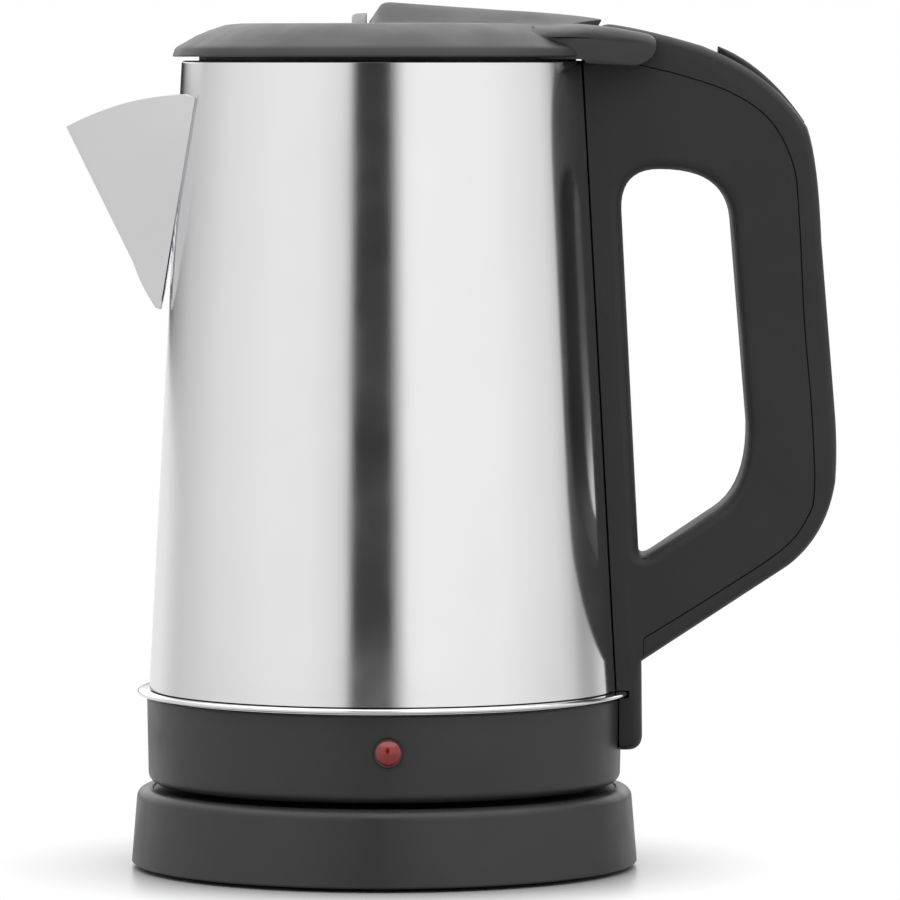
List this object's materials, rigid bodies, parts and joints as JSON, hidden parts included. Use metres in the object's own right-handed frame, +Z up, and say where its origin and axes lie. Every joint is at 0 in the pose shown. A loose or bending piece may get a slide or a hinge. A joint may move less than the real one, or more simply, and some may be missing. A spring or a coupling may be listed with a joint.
{
  "type": "electric kettle",
  "caption": "Cordless electric kettle: tapered steel jug with beak spout, hinged lid and loop handle, on a round swivelling power base.",
  "frame": {"origin": "on the kettle's upright axis, at the flat underside of the power base's bottom cover; the rubber feet reach 1.2 mm lower", "axes": "+Z up, +X towards the handle, -X towards the spout, +Y away from the indicator lamp"},
  "size_m": [0.223, 0.147, 0.2507],
  "materials": {
    "black_plastic": "satin black moulded polypropylene, fine spark texture",
    "gloss_plastic": "smooth black, semi-gloss",
    "inner_plastic": "plain dark moulding",
    "polished_steel": "stainless sheet, bright satin polish with fine upright grain",
    "chrome": "mirror bright",
    "steel": "plain zinc-plated or stainless steel",
    "aluminium": "plain rolled",
    "brass": "plain contact strip",
    "rubber": "soft black rubber",
    "seal_rubber": "translucent grey silicone",
    "red_lens": "clear deep red, domed",
    "lamp_glass": "clear neon capsule",
    "ceramic": "cream heat-resisting moulding"
  },
  "bodies": {
    "power_base": {"base_shell": "black_plastic", "base_bottom_cover": "inner_plastic", "base_foot_1": "rubber", "base_foot_2": "rubber", "base_foot_3": "rubber", "base_screw_1": "steel", "base_screw_2": "steel", "base_screw_3": "steel", "base_connector_tower": "inner_plastic", "base_line_contact": "brass", "base_neutral_contact": "brass", "base_earth_contact": "brass", "cord_gland": "rubber", "cord_clamp": "inner_plastic", "cord_clamp_screw_1": "steel", "cord_clamp_screw_2": "steel"},
    "connector": {"connector_socket": "inner_plastic", "connector_earth_pin": "brass", "connector_line_ring": "brass", "connector_neutral_sleeve": "brass"},
    "kettle": {"collar_housing": "black_plastic", "kettle_bottom_cover": "inner_plastic", "bottom_cover_screw_1": "steel", "bottom_cover_screw_2": "steel", "bottom_cover_screw_3": "steel", "trim_bead": "chrome", "indicator_bezel": "gloss_plastic", "indicator_lens": "red_lens", "neon_lamp": "lamp_glass", "lamp_holder": "ceramic", "heating_plate": "steel", "heat_spreader": "aluminium", "heating_element": "steel", "control_unit": "ceramic", "dry_boil_bimetal_1": "steel", "dry_boil_bimetal_2": "steel", "body_shell": "polished_steel", "spout": "polished_steel", "handle_grip_shell": "black_plastic", "handle_cover": "black_plastic", "handle_upper_screw": "steel", "handle_lower_screw": "steel", "steam_switch": "inner_plastic", "steam_bimetal": "steel", "rocker_pin": "steel", "lid_hinge_pin": "steel", "lid_spring": "steel"},
    "rocker": {"switch_rocker": "gloss_plastic"},
    "lid": {"lid_cover": "black_plastic", "lid_inner_pan": "inner_plastic", "lid_seal": "seal_rubber", "lid_screw_1": "steel", "lid_screw_2": "steel", "lid_screw_3": "steel", "lid_screw_4": "steel", "button_spring_1": "steel", "button_spring_2": "steel"},
    "button": {"lid_release_button": "chrome"},
    "latch": {"lid_latch_bolt": "inner_plastic"}
  },
  "joints": [
    {"name": "kettle_lift", "type": "slide", "parent": "power_base", "child": "connector", "axis": [0, 0, 1], "range_m": [0, 0.06]},
    {"name": "kettle_swivel", "type": "hinge", "parent": "connector", "child": "kettle", "pos_m": [0, 0, 0], "axis": [0, 0, 1], "continuous": true},
    {"name": "switch_tilt", "type": "hinge", "parent": "kettle", "child": "rocker", "pos_m": [0.112, 0, 0.2195], "axis": [0, -1, 0], "range_deg": [0, 8]},
    {"name": "lid_hinge", "type": "hinge", "parent": "kettle", "child": "lid", "pos_m": [0.0737, 0, 0.2362], "axis": [0, 1, 0], "range_deg": [0, 80]},
    {"name": "release_button", "type": "slide", "parent": "lid", "child": "button", "axis": [0, 0, -1], "range_m": [0, 0.0025], "stiffness_N_per_m": 400, "deforming": ["button_spring_1", "button_spring_2"]},
    {"name": "lid_latch", "type": "slide", "parent": "lid", "child": "latch", "axis": [1, 0, 0], "range_m": [0, 0.0025]}
  ],
  "couplings": [
    {"joint": "lid_latch", "follows": "release_button", "ratio": 1}
  ]
}
